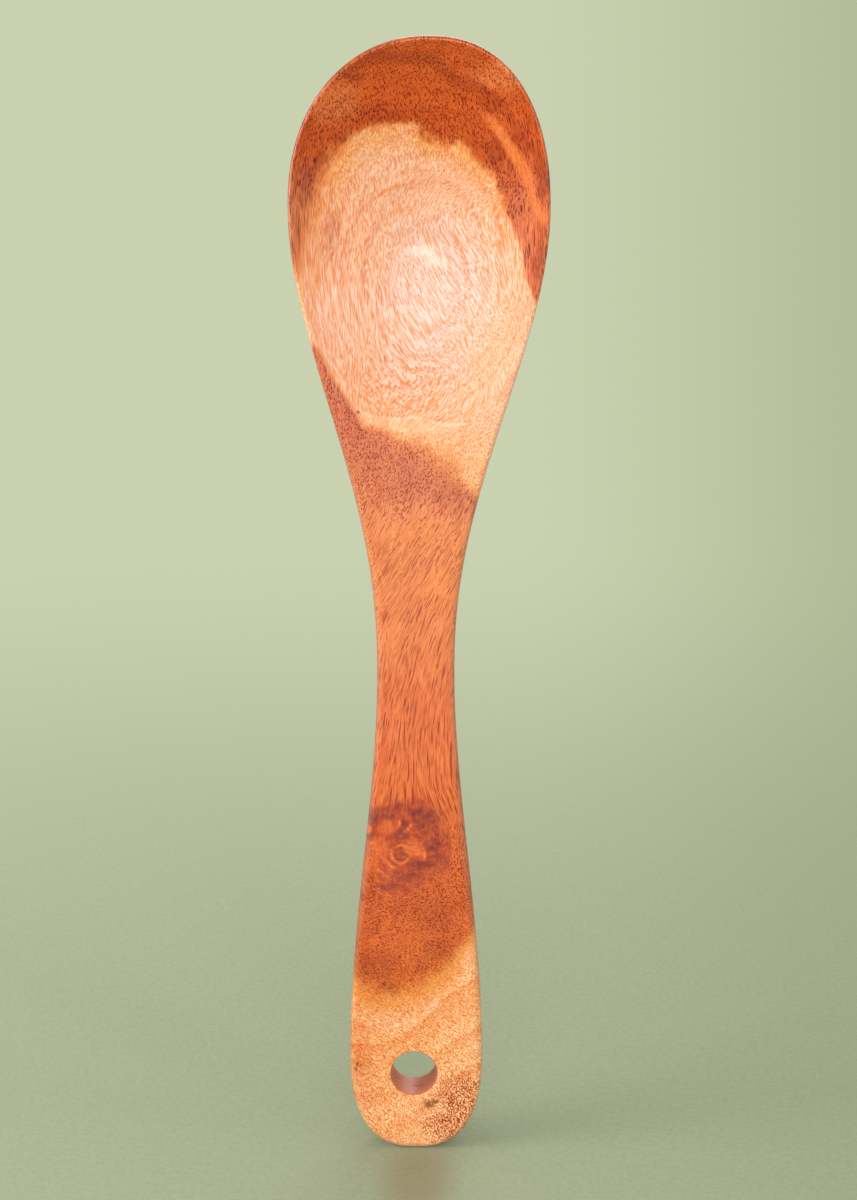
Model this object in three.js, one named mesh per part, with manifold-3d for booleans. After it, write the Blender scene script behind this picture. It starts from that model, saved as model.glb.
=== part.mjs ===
// Wooden ladle carved from one board: an egg-shaped bowl, a narrow flat handle that widens to a rounded
// end, and a hanging hole drilled through that end. It stands upright with the bowl on top.
// Millimetres, +Z up the handle, the hollow of the bowl faces -Y, and the origin is at the hand grip.
import * as THREE from 'three';
import { mergeVertices } from 'three/addons/utils/BufferGeometryUtils.js';
import Module from 'manifold-3d';

const wasm = await Module();
wasm.setup();
const { lerp, smoothstep, smootherstep, clamp } = THREE.MathUtils;

// Plan outline, from the foot of the handle up to the tip of the bowl
const FOOT_ROUND = 27;
const FOOT_WIDTH = 35.9;
const FOOT_SQUARENESS = 2.5;
const TAPER_LENGTH = 109;
const WAIST_WIDTH = 20.3;
const FLARE_LENGTH = 121;
const FLARE_BIAS = 1.15;
const BOWL_WIDTH = 66;
const TIP_ROUND = 43;
const TIP_SQUARENESS = 2.2;

// The hand-cut bowl sits a little to the right of the handle and its tip leans further right
const BOWL_OFFSET = 1;
const TIP_LEAN = 2.5;
const LEAN_POWER = 2.5;

// Board thickness and rounded edges
const HANDLE_THICKNESS = 11.5;
const HANDLE_EDGE = 1.9;
const RIM_THICKNESS = 3;
const RIM_EDGE = 0.9;
const NECK_START = 24;
const NECK_LENGTH = 72;

// Hollow of the bowl: its heel and its deepest point are measured down from the widest part of the bowl
const HOLLOW_DEPTH = 16.5;
const HOLLOW_HEEL = 57;
const HOLLOW_FLOOR = 20;
const HOLLOW_WALL_POWER = 0.75;
const HEEL_POWER = 1.2;
const HEEL_SQUARENESS = 8;
const RIM_WIDTH = 1.1;

// Outside of the bowl: floor thickness, the swell of the back above the waist, and the forward lean
const FLOOR_THICKNESS = 5;
const SWELL_START = 20;
const BELLY_DROP = 17;
const BELLY_POWER = 0.7;
const FACE_LEAN = 6;
const FACE_LEAN_START = 50;

// Hanging hole, measured up from the foot, with eased rims
const HOLE_DIAMETER = 12.6;
const HOLE_SETBACK = 22.4;
const HOLE_OFFSET = -0.6;
const HOLE_EASE = 0.3;
const HOLE_SIDE_COUNT = 48;

// Fineness of the surface
const STATION_COUNT = 88;
const EDGE_RING_COUNT = 3;
const FACE_RING_COUNT = 9;
const RING_CROWDING = 1.35;

// Heights above the foot that the sizes lead to
const waistHeight = FOOT_ROUND + TAPER_LENGTH;
const widestHeight = waistHeight + FLARE_LENGTH;
const tipHeight = widestHeight + TIP_ROUND;
const heelHeight = widestHeight - HOLLOW_HEEL;
const floorHeight = widestHeight - HOLLOW_FLOOR;
const bellyHeight = widestHeight - BELLY_DROP;
const leanHeight = waistHeight + FACE_LEAN_START;
const neckHeight = waistHeight + NECK_START;
const swellHeight = waistHeight + SWELL_START;

// Plan outline: half width and sideways drift of the centre line at a height
function superellipse(share, squareness) {
  const rest = 1 - Math.min(Math.abs(share), 1) ** squareness;
  return rest ** (1 / squareness);
}

function halfWidth(height) {
  if (height < FOOT_ROUND) {
    return FOOT_WIDTH / 2 * superellipse(1 - height / FOOT_ROUND, FOOT_SQUARENESS);
  }
  if (height < waistHeight) {
    return lerp(FOOT_WIDTH / 2, WAIST_WIDTH / 2, smoothstep(height, FOOT_ROUND, waistHeight));
  }
  if (height < widestHeight) {
    const share = ((height - waistHeight) / FLARE_LENGTH) ** FLARE_BIAS;
    return lerp(WAIST_WIDTH / 2, BOWL_WIDTH / 2, smoothstep(share, 0, 1));
  }
  return BOWL_WIDTH / 2 * superellipse((height - widestHeight) / TIP_ROUND, TIP_SQUARENESS);
}

function centreLine(height) {
  const drift = BOWL_OFFSET * smoothstep(height, waistHeight, widestHeight);
  const lean = clamp((height - widestHeight) / TIP_ROUND, 0, 1) ** LEAN_POWER;
  return drift + TIP_LEAN * lean;
}

class HalfOutline extends THREE.Curve {
  getPoint(t, target = new THREE.Vector2()) {
    const part = Math.min(Math.floor(t * 4), 3);
    const share = t * 4 - part;
    let height = 0;
    if (part === 0) {
      height = FOOT_ROUND * (1 - Math.cos(share * Math.PI / 2) ** (2 / FOOT_SQUARENESS));
    } else if (part === 1) {
      height = lerp(FOOT_ROUND, waistHeight, share);
    } else if (part === 2) {
      height = lerp(waistHeight, widestHeight, share);
    } else {
      height = widestHeight + TIP_ROUND * Math.sin(share * Math.PI / 2) ** (2 / TIP_SQUARENESS);
    }
    return target.set(halfWidth(height), height);
  }
}

// Edge: thickness and rounding fade from the handle to the thin rim of the bowl
function neckFade(height) {
  return smoothstep(height, neckHeight, neckHeight + NECK_LENGTH);
}

function edgeThickness(height) {
  return lerp(HANDLE_THICKNESS, RIM_THICKNESS, neckFade(height));
}

function edgeRadius(height) {
  return lerp(HANDLE_EDGE, RIM_EDGE, neckFade(height));
}

// Front face: flat along the handle, leaning forward up the bowl, with the hollow cut into it
function facePlane(height) {
  const share = Math.max(height - leanHeight, 0) / (tipHeight - leanHeight);
  return -HANDLE_THICKNESS / 2 - FACE_LEAN * share ** 2;
}

function hollowHalfWidth(height) {
  if (height < widestHeight) {
    const heel = clamp((widestHeight - height) / HOLLOW_HEEL, 0, 1) ** HEEL_SQUARENESS;
    return (halfWidth(height) - RIM_WIDTH) * Math.sqrt(1 - heel);
  }
  const share = (height - widestHeight) / (TIP_ROUND - RIM_WIDTH);
  return (BOWL_WIDTH / 2 - RIM_WIDTH) * superellipse(share, TIP_SQUARENESS);
}

function hollowDepth(aside, height) {
  const width = hollowHalfWidth(height);
  if (height <= heelHeight || aside >= width) {
    return 0;
  }
  const across = 1 - (aside / width) ** 2;
  const reach = height < floorHeight ? floorHeight - heelHeight : tipHeight - RIM_WIDTH - floorHeight;
  const along = Math.max(1 - ((height - floorHeight) / reach) ** 2, 0);
  const power = lerp(HEEL_POWER, HOLLOW_WALL_POWER, smoothstep(height, heelHeight, floorHeight));
  return HOLLOW_DEPTH * (along * across) ** power;
}

// Back: flat along the handle, swelling into the belly of the bowl
function bellyDepth(aside, height) {
  const width = halfWidth(height);
  if (width <= aside) {
    return 0;
  }
  const across = (1 - (aside / width) ** 2) ** BELLY_POWER;
  const deepest = HOLLOW_DEPTH + FLOOR_THICKNESS;
  if (height < bellyHeight) {
    const depth = lerp(HANDLE_THICKNESS, deepest, smootherstep(height, swellHeight, bellyHeight));
    return (depth - edgeThickness(height)) * across;
  }
  const along = 1 - ((height - bellyHeight) / (tipHeight - bellyHeight)) ** 2;
  return (deepest - RIM_THICKNESS) * (Math.max(along, 0)) ** BELLY_POWER * across;
}

// Blank: rings climb the side wall, round the edge, then cross the face to the spine
const spineFoot = HOLE_SETBACK;
const spineTip = widestHeight;

function spineHeight(height) {
  if (height < FOOT_ROUND * 2) {
    return lerp(spineFoot, FOOT_ROUND * 2, height / (FOOT_ROUND * 2));
  }
  if (height > heelHeight) {
    return lerp(heelHeight, spineTip, (height - heelHeight) / (tipHeight - heelHeight));
  }
  return height;
}

function stationRings(point, inward) {
  const radius = edgeRadius(point.y);
  const half = edgeThickness(point.y) / 2;
  const rings = [{ place: point.clone(), rise: 0 }];
  for (let step = 0; step <= EDGE_RING_COUNT; step += 1) {
    const turn = step / EDGE_RING_COUNT * Math.PI / 2;
    const place = inward.clone().multiplyScalar(radius * (1 - Math.cos(turn))).add(point);
    rings.push({ place, rise: 1 - radius / half * (1 - Math.sin(turn)) });
  }
  const edge = rings[rings.length - 1].place;
  const spine = new THREE.Vector2(0, spineHeight(point.y));
  for (let step = 1; step <= FACE_RING_COUNT; step += 1) {
    const share = (step / FACE_RING_COUNT) ** RING_CROWDING;
    rings.push({ place: edge.clone().lerp(spine, share), rise: 1 });
  }
  return rings;
}

function surfacePoint(ring, side, face) {
  const aside = Math.max(ring.place.x, 0);
  const height = ring.place.y;
  const half = edgeThickness(height) / 2;
  const middle = facePlane(height) + half;
  let depth = middle - half * ring.rise + hollowDepth(aside, height);
  if (face === 'back') {
    depth = middle + half * ring.rise + bellyDepth(aside, height);
  }
  return [centreLine(height) + side * aside, depth, height];
}

function blankGeometry() {
  const outline = new HalfOutline();
  outline.arcLengthDivisions = 2000;
  const points = outline.getSpacedPoints(STATION_COUNT);
  points[0].x = 0;
  points[STATION_COUNT].x = 0;
  const stations = points.map((point, index) => {
    const below = points[index - 1] ?? points[1].clone().setX(-points[1].x);
    const above = points[index + 1] ?? points[index - 1].clone().setX(-points[index - 1].x);
    const along = above.clone().sub(below).normalize();
    return stationRings(point, new THREE.Vector2(-along.y, along.x));
  });
  const positions = [];
  for (const [side, face] of [[1, 'front'], [-1, 'front'], [1, 'back'], [-1, 'back']]) {
    const outward = side * (face === 'front' ? 1 : -1);
    for (let station = 0; station < STATION_COUNT; station += 1) {
      for (let ring = 0; ring < stations[station].length - 1; ring += 1) {
        const low = surfacePoint(stations[station][ring], side, face);
        const high = surfacePoint(stations[station + 1][ring], side, face);
        const highIn = surfacePoint(stations[station + 1][ring + 1], side, face);
        const lowIn = surfacePoint(stations[station][ring + 1], side, face);
        if (outward > 0) {
          positions.push(...low, ...high, ...highIn, ...low, ...highIn, ...lowIn);
        } else {
          positions.push(...low, ...highIn, ...high, ...low, ...lowIn, ...highIn);
        }
      }
    }
  }
  const geometry = new THREE.BufferGeometry();
  geometry.setAttribute('position', new THREE.Float32BufferAttribute(positions, 3));
  return geometry;
}

// Drill for the hanging hole: straight through the board, flaring where it leaves each face
function drillGeometry() {
  const radius = HOLE_DIAMETER / 2;
  const face = HANDLE_THICKNESS / 2;
  const clear = HOLE_EASE * 2;
  const profile = [
    new THREE.Vector2(0, -face - clear),
    new THREE.Vector2(radius + HOLE_EASE + clear, -face - clear),
    new THREE.Vector2(radius, HOLE_EASE - face),
    new THREE.Vector2(radius, face - HOLE_EASE),
    new THREE.Vector2(radius + HOLE_EASE + clear, face + clear),
    new THREE.Vector2(0, face + clear),
  ];
  const geometry = new THREE.LatheGeometry(profile, HOLE_SIDE_COUNT);
  geometry.translate(HOLE_OFFSET, 0, HOLE_SETBACK);
  return geometry;
}

function solidOf(geometry) {
  geometry.deleteAttribute('normal');
  geometry.deleteAttribute('uv');
  const joined = mergeVertices(geometry, 1e-4);
  const corners = [];
  for (let index = 0; index < joined.index.count; index += 3) {
    const [a, b, c] = [0, 1, 2].map((corner) => joined.index.getX(index + corner));
    if (a !== b && b !== c && c !== a) {
      corners.push(a, b, c);
    }
  }
  return new wasm.Manifold(new wasm.Mesh({
    numProp: 3,
    vertProperties: new Float32Array(joined.attributes.position.array),
    triVerts: new Uint32Array(corners),
  }));
}

function geometryOf(solid) {
  const mesh = solid.getMesh();
  const geometry = new THREE.BufferGeometry();
  geometry.setAttribute('position', new THREE.BufferAttribute(mesh.vertProperties, 3));
  geometry.setIndex(new THREE.BufferAttribute(mesh.triVerts, 1));
  geometry.computeVertexNormals();
  return geometry;
}

const oiledWood = new THREE.MeshStandardMaterial({ color: '#d98a52', roughness: 0.45, metalness: 0 });
const drilled = solidOf(blankGeometry()).subtract(solidOf(drillGeometry()));
const ladle = new THREE.Mesh(geometryOf(drilled), oiledWood);
ladle.name = 'ladle';
ladle.position.z = -waistHeight;

const group = new THREE.Group();
group.name = 'wooden_ladle';
group.add(ladle);

export default group;
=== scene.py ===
import math

import bmesh
import bpy
import numpy as np
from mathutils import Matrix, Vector


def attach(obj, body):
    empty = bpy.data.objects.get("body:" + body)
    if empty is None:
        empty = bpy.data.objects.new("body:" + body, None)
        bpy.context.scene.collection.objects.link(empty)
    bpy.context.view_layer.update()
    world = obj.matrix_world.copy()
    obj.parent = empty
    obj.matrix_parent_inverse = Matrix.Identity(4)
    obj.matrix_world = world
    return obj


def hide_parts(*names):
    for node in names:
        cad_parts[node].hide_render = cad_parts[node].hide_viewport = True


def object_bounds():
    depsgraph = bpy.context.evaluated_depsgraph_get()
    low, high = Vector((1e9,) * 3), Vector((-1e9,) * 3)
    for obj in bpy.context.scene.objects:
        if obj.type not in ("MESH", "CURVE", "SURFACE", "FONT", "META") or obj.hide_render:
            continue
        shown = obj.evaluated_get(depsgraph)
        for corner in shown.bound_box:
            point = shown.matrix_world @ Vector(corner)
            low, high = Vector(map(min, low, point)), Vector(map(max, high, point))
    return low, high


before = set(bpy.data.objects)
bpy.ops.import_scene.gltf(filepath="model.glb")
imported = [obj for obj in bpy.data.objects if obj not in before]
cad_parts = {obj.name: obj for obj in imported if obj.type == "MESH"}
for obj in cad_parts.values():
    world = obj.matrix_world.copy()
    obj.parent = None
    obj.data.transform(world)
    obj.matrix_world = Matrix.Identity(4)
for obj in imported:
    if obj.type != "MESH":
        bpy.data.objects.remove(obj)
cad_low, cad_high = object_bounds()

# Ladle: bowl, neck and handle carved from one board of oiled fruitwood, sawn to a waisted outline.
# The bowl is hollowed with a gouge, its back rounded to a belly, and every edge is sanded.
# Sizes are in millimetres and heights are above the foot of the handle.
MM = 0.001
FOOT_ROUND, FOOT_WIDTH, FOOT_SQUARENESS = 27.0, 35.9, 2.5
WAIST_HEIGHT, WAIST_WIDTH = 136.0, 20.3
WIDEST_HEIGHT, BOWL_WIDTH, FLARE_BIAS = 257.0, 66.0, 1.15
TIP_HEIGHT, TIP_SQUARENESS = 300.0, 2.2
BOWL_OFFSET, TIP_LEAN, LEAN_POWER = 1.0, 2.5, 2.5
HANDLE_THICKNESS, RIM_THICKNESS = 11.5, 3.0
HANDLE_EDGE, RIM_EDGE = 1.9, 0.9
NECK_LOW, NECK_HIGH = 160.0, 232.0
FACE_LEAN, LEAN_HEIGHT = 6.0, 186.0
HEEL_HEIGHT, HOLLOW_HEIGHT, HOLLOW_DEPTH = 200.0, 237.0, 16.5
WALL_POWER, HEEL_POWER, HEEL_SQUARENESS, RIM_WIDTH = 0.75, 1.2, 8.0, 1.1
SWELL_HEIGHT, BELLY_HEIGHT, BELLY_DEPTH, BELLY_POWER = 156.0, 240.0, 21.5, 0.7
HOLE_HEIGHT, HOLE_RADIUS, HOLE_OFFSET, HOLE_EASE = 22.4, 6.3, -0.6, 0.3
CARVING = 0.07
STATIONS, EDGE_RINGS, FACE_RINGS, RING_CROWDING = 340, 7, 30, 1.35


def smooth(value, low, high):
    share = np.clip((value - low) / (high - low), 0, 1)
    return share * share * (3 - 2 * share)


def superellipse(share, squareness):
    return (1 - np.minimum(np.abs(share), 1) ** squareness) ** (1 / squareness)


def half_width(height):
    foot = FOOT_WIDTH / 2 * superellipse(1 - height / FOOT_ROUND, FOOT_SQUARENESS)
    taper = FOOT_WIDTH + (WAIST_WIDTH - FOOT_WIDTH) * smooth(height, FOOT_ROUND, WAIST_HEIGHT)
    flare = np.clip((height - WAIST_HEIGHT) / (WIDEST_HEIGHT - WAIST_HEIGHT), 0, 1) ** FLARE_BIAS
    flare = WAIST_WIDTH + (BOWL_WIDTH - WAIST_WIDTH) * smooth(flare, 0, 1)
    tip = (height - WIDEST_HEIGHT) / (TIP_HEIGHT - WIDEST_HEIGHT)
    tip = BOWL_WIDTH / 2 * superellipse(tip, TIP_SQUARENESS)
    below = [height < FOOT_ROUND, height < WAIST_HEIGHT, height < WIDEST_HEIGHT]
    return np.select(below, [foot, taper / 2, flare / 2], tip)


def centre_line(height):
    lean = np.clip((height - WIDEST_HEIGHT) / (TIP_HEIGHT - WIDEST_HEIGHT), 0, 1) ** LEAN_POWER
    return BOWL_OFFSET * smooth(height, WAIST_HEIGHT, WIDEST_HEIGHT) + TIP_LEAN * lean


def face_plane(height):
    lean = np.maximum(height - LEAN_HEIGHT, 0) / (TIP_HEIGHT - LEAN_HEIGHT)
    return -HANDLE_THICKNESS / 2 - FACE_LEAN * lean**2


def edge_half(height):
    neck = smooth(height, NECK_LOW, NECK_HIGH)
    return (HANDLE_THICKNESS + (RIM_THICKNESS - HANDLE_THICKNESS) * neck) / 2


def edge_radius(height):
    return HANDLE_EDGE + (RIM_EDGE - HANDLE_EDGE) * smooth(height, NECK_LOW, NECK_HIGH)


def hollow_depth(aside, height):
    heel = np.clip((WIDEST_HEIGHT - height) / (WIDEST_HEIGHT - HEEL_HEIGHT), 0, 1) ** HEEL_SQUARENESS
    low = (half_width(height) - RIM_WIDTH) * np.sqrt(1 - heel)
    high = (height - WIDEST_HEIGHT) / (TIP_HEIGHT - RIM_WIDTH - WIDEST_HEIGHT)
    high = (BOWL_WIDTH / 2 - RIM_WIDTH) * superellipse(high, TIP_SQUARENESS)
    width = np.maximum(np.where(height < WIDEST_HEIGHT, low, high), 1e-6)
    across = np.clip(1 - (aside / width) ** 2, 0, 1)
    top_reach = TIP_HEIGHT - RIM_WIDTH - HOLLOW_HEIGHT
    reach = np.where(height < HOLLOW_HEIGHT, HOLLOW_HEIGHT - HEEL_HEIGHT, top_reach)
    along = np.clip(1 - ((height - HOLLOW_HEIGHT) / reach) ** 2, 0, 1)
    power = HEEL_POWER + (WALL_POWER - HEEL_POWER) * smooth(height, HEEL_HEIGHT, HOLLOW_HEIGHT)
    return HOLLOW_DEPTH * (along * across) ** power


def belly_depth(aside, height):
    width = np.maximum(half_width(height), 1e-6)
    across = np.clip(1 - (aside / width) ** 2, 0, 1) ** BELLY_POWER
    swell = np.clip((height - SWELL_HEIGHT) / (BELLY_HEIGHT - SWELL_HEIGHT), 0, 1)
    swell = swell**3 * (swell * (6 * swell - 15) + 10)
    low = HANDLE_THICKNESS + (BELLY_DEPTH - HANDLE_THICKNESS) * swell - 2 * edge_half(height)
    high = 1 - ((height - BELLY_HEIGHT) / (TIP_HEIGHT - BELLY_HEIGHT)) ** 2
    high = (BELLY_DEPTH - RIM_THICKNESS) * np.clip(high, 0, 1) ** BELLY_POWER
    return np.where(height < BELLY_HEIGHT, low, high) * across


def unevenness(x, height, rise):
    from_hole = np.hypot(x - HOLE_OFFSET, height - HOLE_HEIGHT) - HOLE_RADIUS - HOLE_EASE
    facets = np.sin(0.41 * x + 0.13 * height) * np.sin(0.21 * height - 0.17 * x + 1.0)
    facets += 0.6 * np.sin(0.83 * x - 0.29 * height + 2.0) * np.sin(0.37 * height + 0.31 * x)
    return CARVING * facets * smooth(rise, 0.7, 1) * smooth(from_hole, 0, 6)


def surface(x, height, rise, face):
    aside = np.abs(x - centre_line(height))
    middle = face_plane(height) + edge_half(height)
    front = middle - edge_half(height) * rise + hollow_depth(aside, height)
    back = middle + edge_half(height) * rise + belly_depth(aside, height)
    depth = (front if face == "front" else back) + unevenness(x, height, rise)
    return np.stack([x, depth, height - WAIST_HEIGHT], axis=-1)


turn = np.linspace(0, math.pi / 2, 600)
fine = np.concatenate([
    FOOT_ROUND * (1 - np.cos(turn) ** (2 / FOOT_SQUARENESS)),
    np.linspace(FOOT_ROUND, WIDEST_HEIGHT, 2400)[1:-1],
    WIDEST_HEIGHT + (TIP_HEIGHT - WIDEST_HEIGHT) * np.sin(turn) ** (2 / TIP_SQUARENESS),
])
fine_width = half_width(fine)
travel = np.concatenate([[0], np.cumsum(np.hypot(np.diff(fine_width), np.diff(fine)))])
even = np.linspace(0, travel[-1], STATIONS + 1)
outline_z = np.interp(even, travel, fine)
outline_w = np.interp(even, travel, fine_width)
outline_w[[0, -1]] = 0
mirror_w = np.concatenate([[-outline_w[1]], outline_w, [-outline_w[-2]]])
mirror_z = np.concatenate([[outline_z[1]], outline_z, [outline_z[-2]]])
along_w, along_z = mirror_w[2:] - mirror_w[:-2], mirror_z[2:] - mirror_z[:-2]
length = np.hypot(along_w, along_z)
inward_w, inward_z = -along_z / length, along_w / length

# Rings of the ladle step in from the outline round the edge, then cross the face to the hanging hole
# near the foot and to a spine line everywhere above it.
HOLE_FAN, SPINE_STRAIGHT, SPINE_EVEN = 35.0, 60.0, 110.0
hole_top = int(np.argmax(outline_z > HOLE_HEIGHT + HOLE_FAN))
hole_turn = np.arctan2(outline_w, HOLE_HEIGHT - outline_z)[: hole_top + 1]
hole_turn = hole_turn * math.pi / hole_turn[-1]
rim_radius = HOLE_RADIUS + HOLE_EASE
spine_w = np.zeros(STATIONS + 1)
spine_w[: hole_top + 1] = rim_radius * np.sin(hole_turn)
spine_w[hole_top] = 0
spine_z = np.interp(
    outline_z,
    [outline_z[hole_top], SPINE_EVEN, HEEL_HEIGHT, TIP_HEIGHT],
    [HOLE_HEIGHT + rim_radius, SPINE_EVEN, HEEL_HEIGHT, WIDEST_HEIGHT],
)
spine_z[: hole_top + 1] = HOLE_HEIGHT - rim_radius * np.cos(hole_turn)
spine_shift = 1 - smooth(spine_z, HOLE_HEIGHT + rim_radius, SPINE_STRAIGHT)
spine_x = centre_line(spine_z) + HOLE_OFFSET * spine_shift

edge_turn = np.linspace(0, math.pi / 2, EDGE_RINGS + 1)
face_share = (np.arange(1, FACE_RINGS + 1) / FACE_RINGS) ** RING_CROWDING
inset = edge_radius(outline_z)[:, None] * (1 - np.cos(edge_turn))
inset = np.pad(inset, ((0, 0), (1, 0)))
corner = (edge_radius(outline_z) / edge_half(outline_z))[:, None]
edge_rise = np.pad(1 - corner * (1 - np.sin(edge_turn)), ((0, 0), (1, 0)))
rise = np.concatenate([edge_rise, np.ones((STATIONS + 1, FACE_RINGS))], axis=1)
sideways = np.concatenate([[1], 1 - edge_turn / (math.pi / 2), np.zeros(FACE_RINGS)])
edge_w = outline_w[:, None] + inward_w[:, None] * inset
edge_z = outline_z[:, None] + inward_z[:, None] * inset

# Texture layout: the front and back lie flat with their edges unrolled, bowl apart from handle, and the
# wall of the hole beside them, all at one scale in a square SHEET millimetres wide.
SHEET, PARTING_HEIGHT = 216.0, 160.0
LAYOUT = {
    "front bowl": (1, 0, 35.5, 0, 1, -89.0),
    "back bowl": (-1, 0, 106.5, 0, 1, -89.0),
    "front handle": (1, 0, 164.5, 0, 1, 50.0),
    "back handle": (0, 1, 6.0, 1, 0, 23.5),
    "hole": (1, 0, 21.0, 0, 1, 50.0),
}
edge_step = np.hypot(np.diff(inset, axis=1), edge_half(outline_z)[:, None] * np.diff(edge_rise, axis=1))
unrolled = np.zeros_like(edge_w)
unrolled[:, :-1] = np.cumsum(edge_step[:, ::-1], axis=1)[:, ::-1]
flat_w = edge_w[:, -1:] - inward_w[:, None] * unrolled
flat_z = edge_z[:, -1:] - inward_z[:, None] * unrolled

EASE_RINGS, WALL_RINGS = 5, 9
vertices, quads, corners, edges = [], [], [], []


def add_patch(points, edge, flat, layout, flip):
    rows, columns = points.shape[:2]
    first = sum(len(block) for block in vertices)
    vertices.append(points.reshape(-1, 3) * MM)
    edges.append(np.broadcast_to(edge, (rows, columns)).ravel())
    index = np.arange(rows * columns).reshape(rows, columns)
    ring = np.stack([index[:-1, :-1], index[1:, :-1], index[1:, 1:], index[:-1, 1:]], axis=-1)
    ring = ring[..., ::-1] if flip else ring
    quads.append(first + ring.reshape(-1, 4))
    across, up = flat.reshape(-1, 2)[ring].transpose(3, 0, 1, 2)
    across_x, across_z, across_start, up_x, up_z, up_start = np.moveaxis(layout, -1, 0)[..., None, None]
    sheet_u = across_x * across + across_z * up + across_start
    sheet_v = up_x * across + up_z * up + up_start
    corners.append(np.stack([sheet_u, sheet_v], axis=-1).reshape(-1, 2) / SHEET)


for side in (1, -1):
    edge_x = centre_line(edge_z) + side * edge_w
    start_x, start_z = edge_x[:, -1:], edge_z[:, -1:]
    end_x = (spine_x + side * spine_w)[:, None]
    face_x = start_x + (end_x - start_x) * face_share
    face_z = start_z + (spine_z[:, None] - start_z) * face_share
    ring_x = np.concatenate([edge_x, face_x], axis=1)
    ring_z = np.concatenate([edge_z, face_z], axis=1)
    flat_x = np.concatenate([centre_line(edge_z) + side * flat_w, face_x], axis=1)
    flat = np.stack([flat_x, np.concatenate([flat_z, face_z], axis=1)], axis=-1)
    bowl_rows = (outline_z[:-1] > PARTING_HEIGHT)[:, None]
    for face in ("front", "back"):
        layout = np.where(bowl_rows, LAYOUT[face + " bowl"], LAYOUT[face + " handle"])
        points = surface(ring_x, ring_z, rise, face)
        add_patch(points, sideways, flat, layout, (side > 0) == (face == "back"))

    # Hanging hole: drilled straight through the handle, its rims eased with sandpaper.
    ease = np.linspace(0, math.pi / 2, EASE_RINGS)
    wall = HANDLE_THICKNESS / 2 - HOLE_EASE
    radius = np.concatenate([rim_radius - HOLE_EASE * np.sin(ease), np.full(WALL_RINGS - 2, HOLE_RADIUS)])
    depth = np.concatenate([-wall - HOLE_EASE * np.cos(ease), np.linspace(-wall, wall, WALL_RINGS)[1:-1]])
    radius = np.concatenate([radius, radius[EASE_RINGS - 1 :: -1]])
    depth = np.concatenate([depth, -depth[EASE_RINGS - 1 :: -1]])
    hole_x = HOLE_OFFSET + side * np.sin(hole_turn)[:, None] * radius
    hole_z = HOLE_HEIGHT - WAIST_HEIGHT - np.cos(hole_turn)[:, None] * radius
    hole_x[[0, -1]] = HOLE_OFFSET
    hole_y = np.broadcast_to(depth, hole_x.shape)
    hole_flat = np.broadcast_to(side * HOLE_RADIUS * hole_turn[:, None], hole_x.shape)
    hole_flat = np.stack([hole_flat, hole_y + HANDLE_THICKNESS / 2], axis=-1)
    hole_layout = np.broadcast_to(LAYOUT["hole"], (hole_top, 6))
    add_patch(np.stack([hole_x, hole_y, hole_z], axis=-1), 0, hole_flat, hole_layout, side < 0)

mesh = bpy.data.meshes.new("ladle_carved")
mesh.from_pydata(np.concatenate(vertices).tolist(), [], np.concatenate(quads).tolist())
sheet = mesh.uv_layers.new(name="OFBake")
sheet.uv.foreach_set("vector", np.concatenate(corners).astype(np.float32).ravel())
edge_mark = mesh.attributes.new("edge", "FLOAT", "POINT")
edge_mark.data.foreach_set("value", np.concatenate(edges).astype(np.float32))
form = bmesh.new()
form.from_mesh(mesh)
bmesh.ops.remove_doubles(form, verts=form.verts, dist=1e-6)
form.to_mesh(mesh)
form.free()
mesh.shade_smooth()
ladle = bpy.data.objects.new("ladle_carved", mesh)
bpy.context.scene.collection.objects.link(ladle)
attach(ladle, "root")
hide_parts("ladle")

# Wood of the ladle: one oiled board, pale sapwood round orange heartwood, with a branch knot in the handle.
# Its figure is worked out in the solid board, in millimetres, so that it runs on over every edge.
wood = bpy.data.materials.new("oiled_wood")
wood.use_nodes = True
nodes, links = wood.node_tree.nodes, wood.node_tree.links
finish = nodes["Principled BSDF"]
mesh.materials.append(wood)


def feed(socket, value):
    if isinstance(value, bpy.types.NodeSocket):
        links.new(value, socket)
    else:
        socket.default_value = value


def calc(operation, *values):
    node = nodes.new("ShaderNodeMath")
    node.operation = operation
    for socket, value in zip(node.inputs, values):
        feed(socket, value)
    return node.outputs[0]


def product(*values):
    total = values[0]
    for value in values[1:]:
        total = calc("MULTIPLY", total, value)
    return total


def vector_calc(operation, *values):
    node = nodes.new("ShaderNodeVectorMath")
    node.operation = operation
    for socket, value in zip(node.inputs, values):
        feed(socket, value)
    return node.outputs["Value" if operation == "LENGTH" else "Vector"]


def joined(x, y, z):
    node = nodes.new("ShaderNodeCombineXYZ")
    for socket, value in zip(node.inputs, (x, y, z)):
        feed(socket, value)
    return node.outputs[0]


def fade(value, low, high, start=0.0, end=1.0):
    node = nodes.new("ShaderNodeMapRange")
    node.interpolation_type = "SMOOTHSTEP"
    names = ("Value", "From Min", "From Max", "To Min", "To Max")
    for name, setting in zip(names, (value, low, high, start, end)):
        feed(node.inputs[name], setting)
    return node.outputs[0]


def line(value, middle, half, core=0.3):
    return fade(calc("ABSOLUTE", calc("SUBTRACT", value, middle)), half, half * core)


def curve(value, points):
    node = nodes.new("ShaderNodeFloatCurve")
    node.mapping.use_clip = False
    track = node.mapping.curves[0].points
    while len(track) < len(points):
        track.new(0.5, 0.5)
    for spot, place in zip(track, points):
        spot.location = place
        spot.handle_type = "AUTO_CLAMPED"
    node.mapping.update()
    feed(node.inputs["Value"], value)
    return node.outputs[0]


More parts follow.
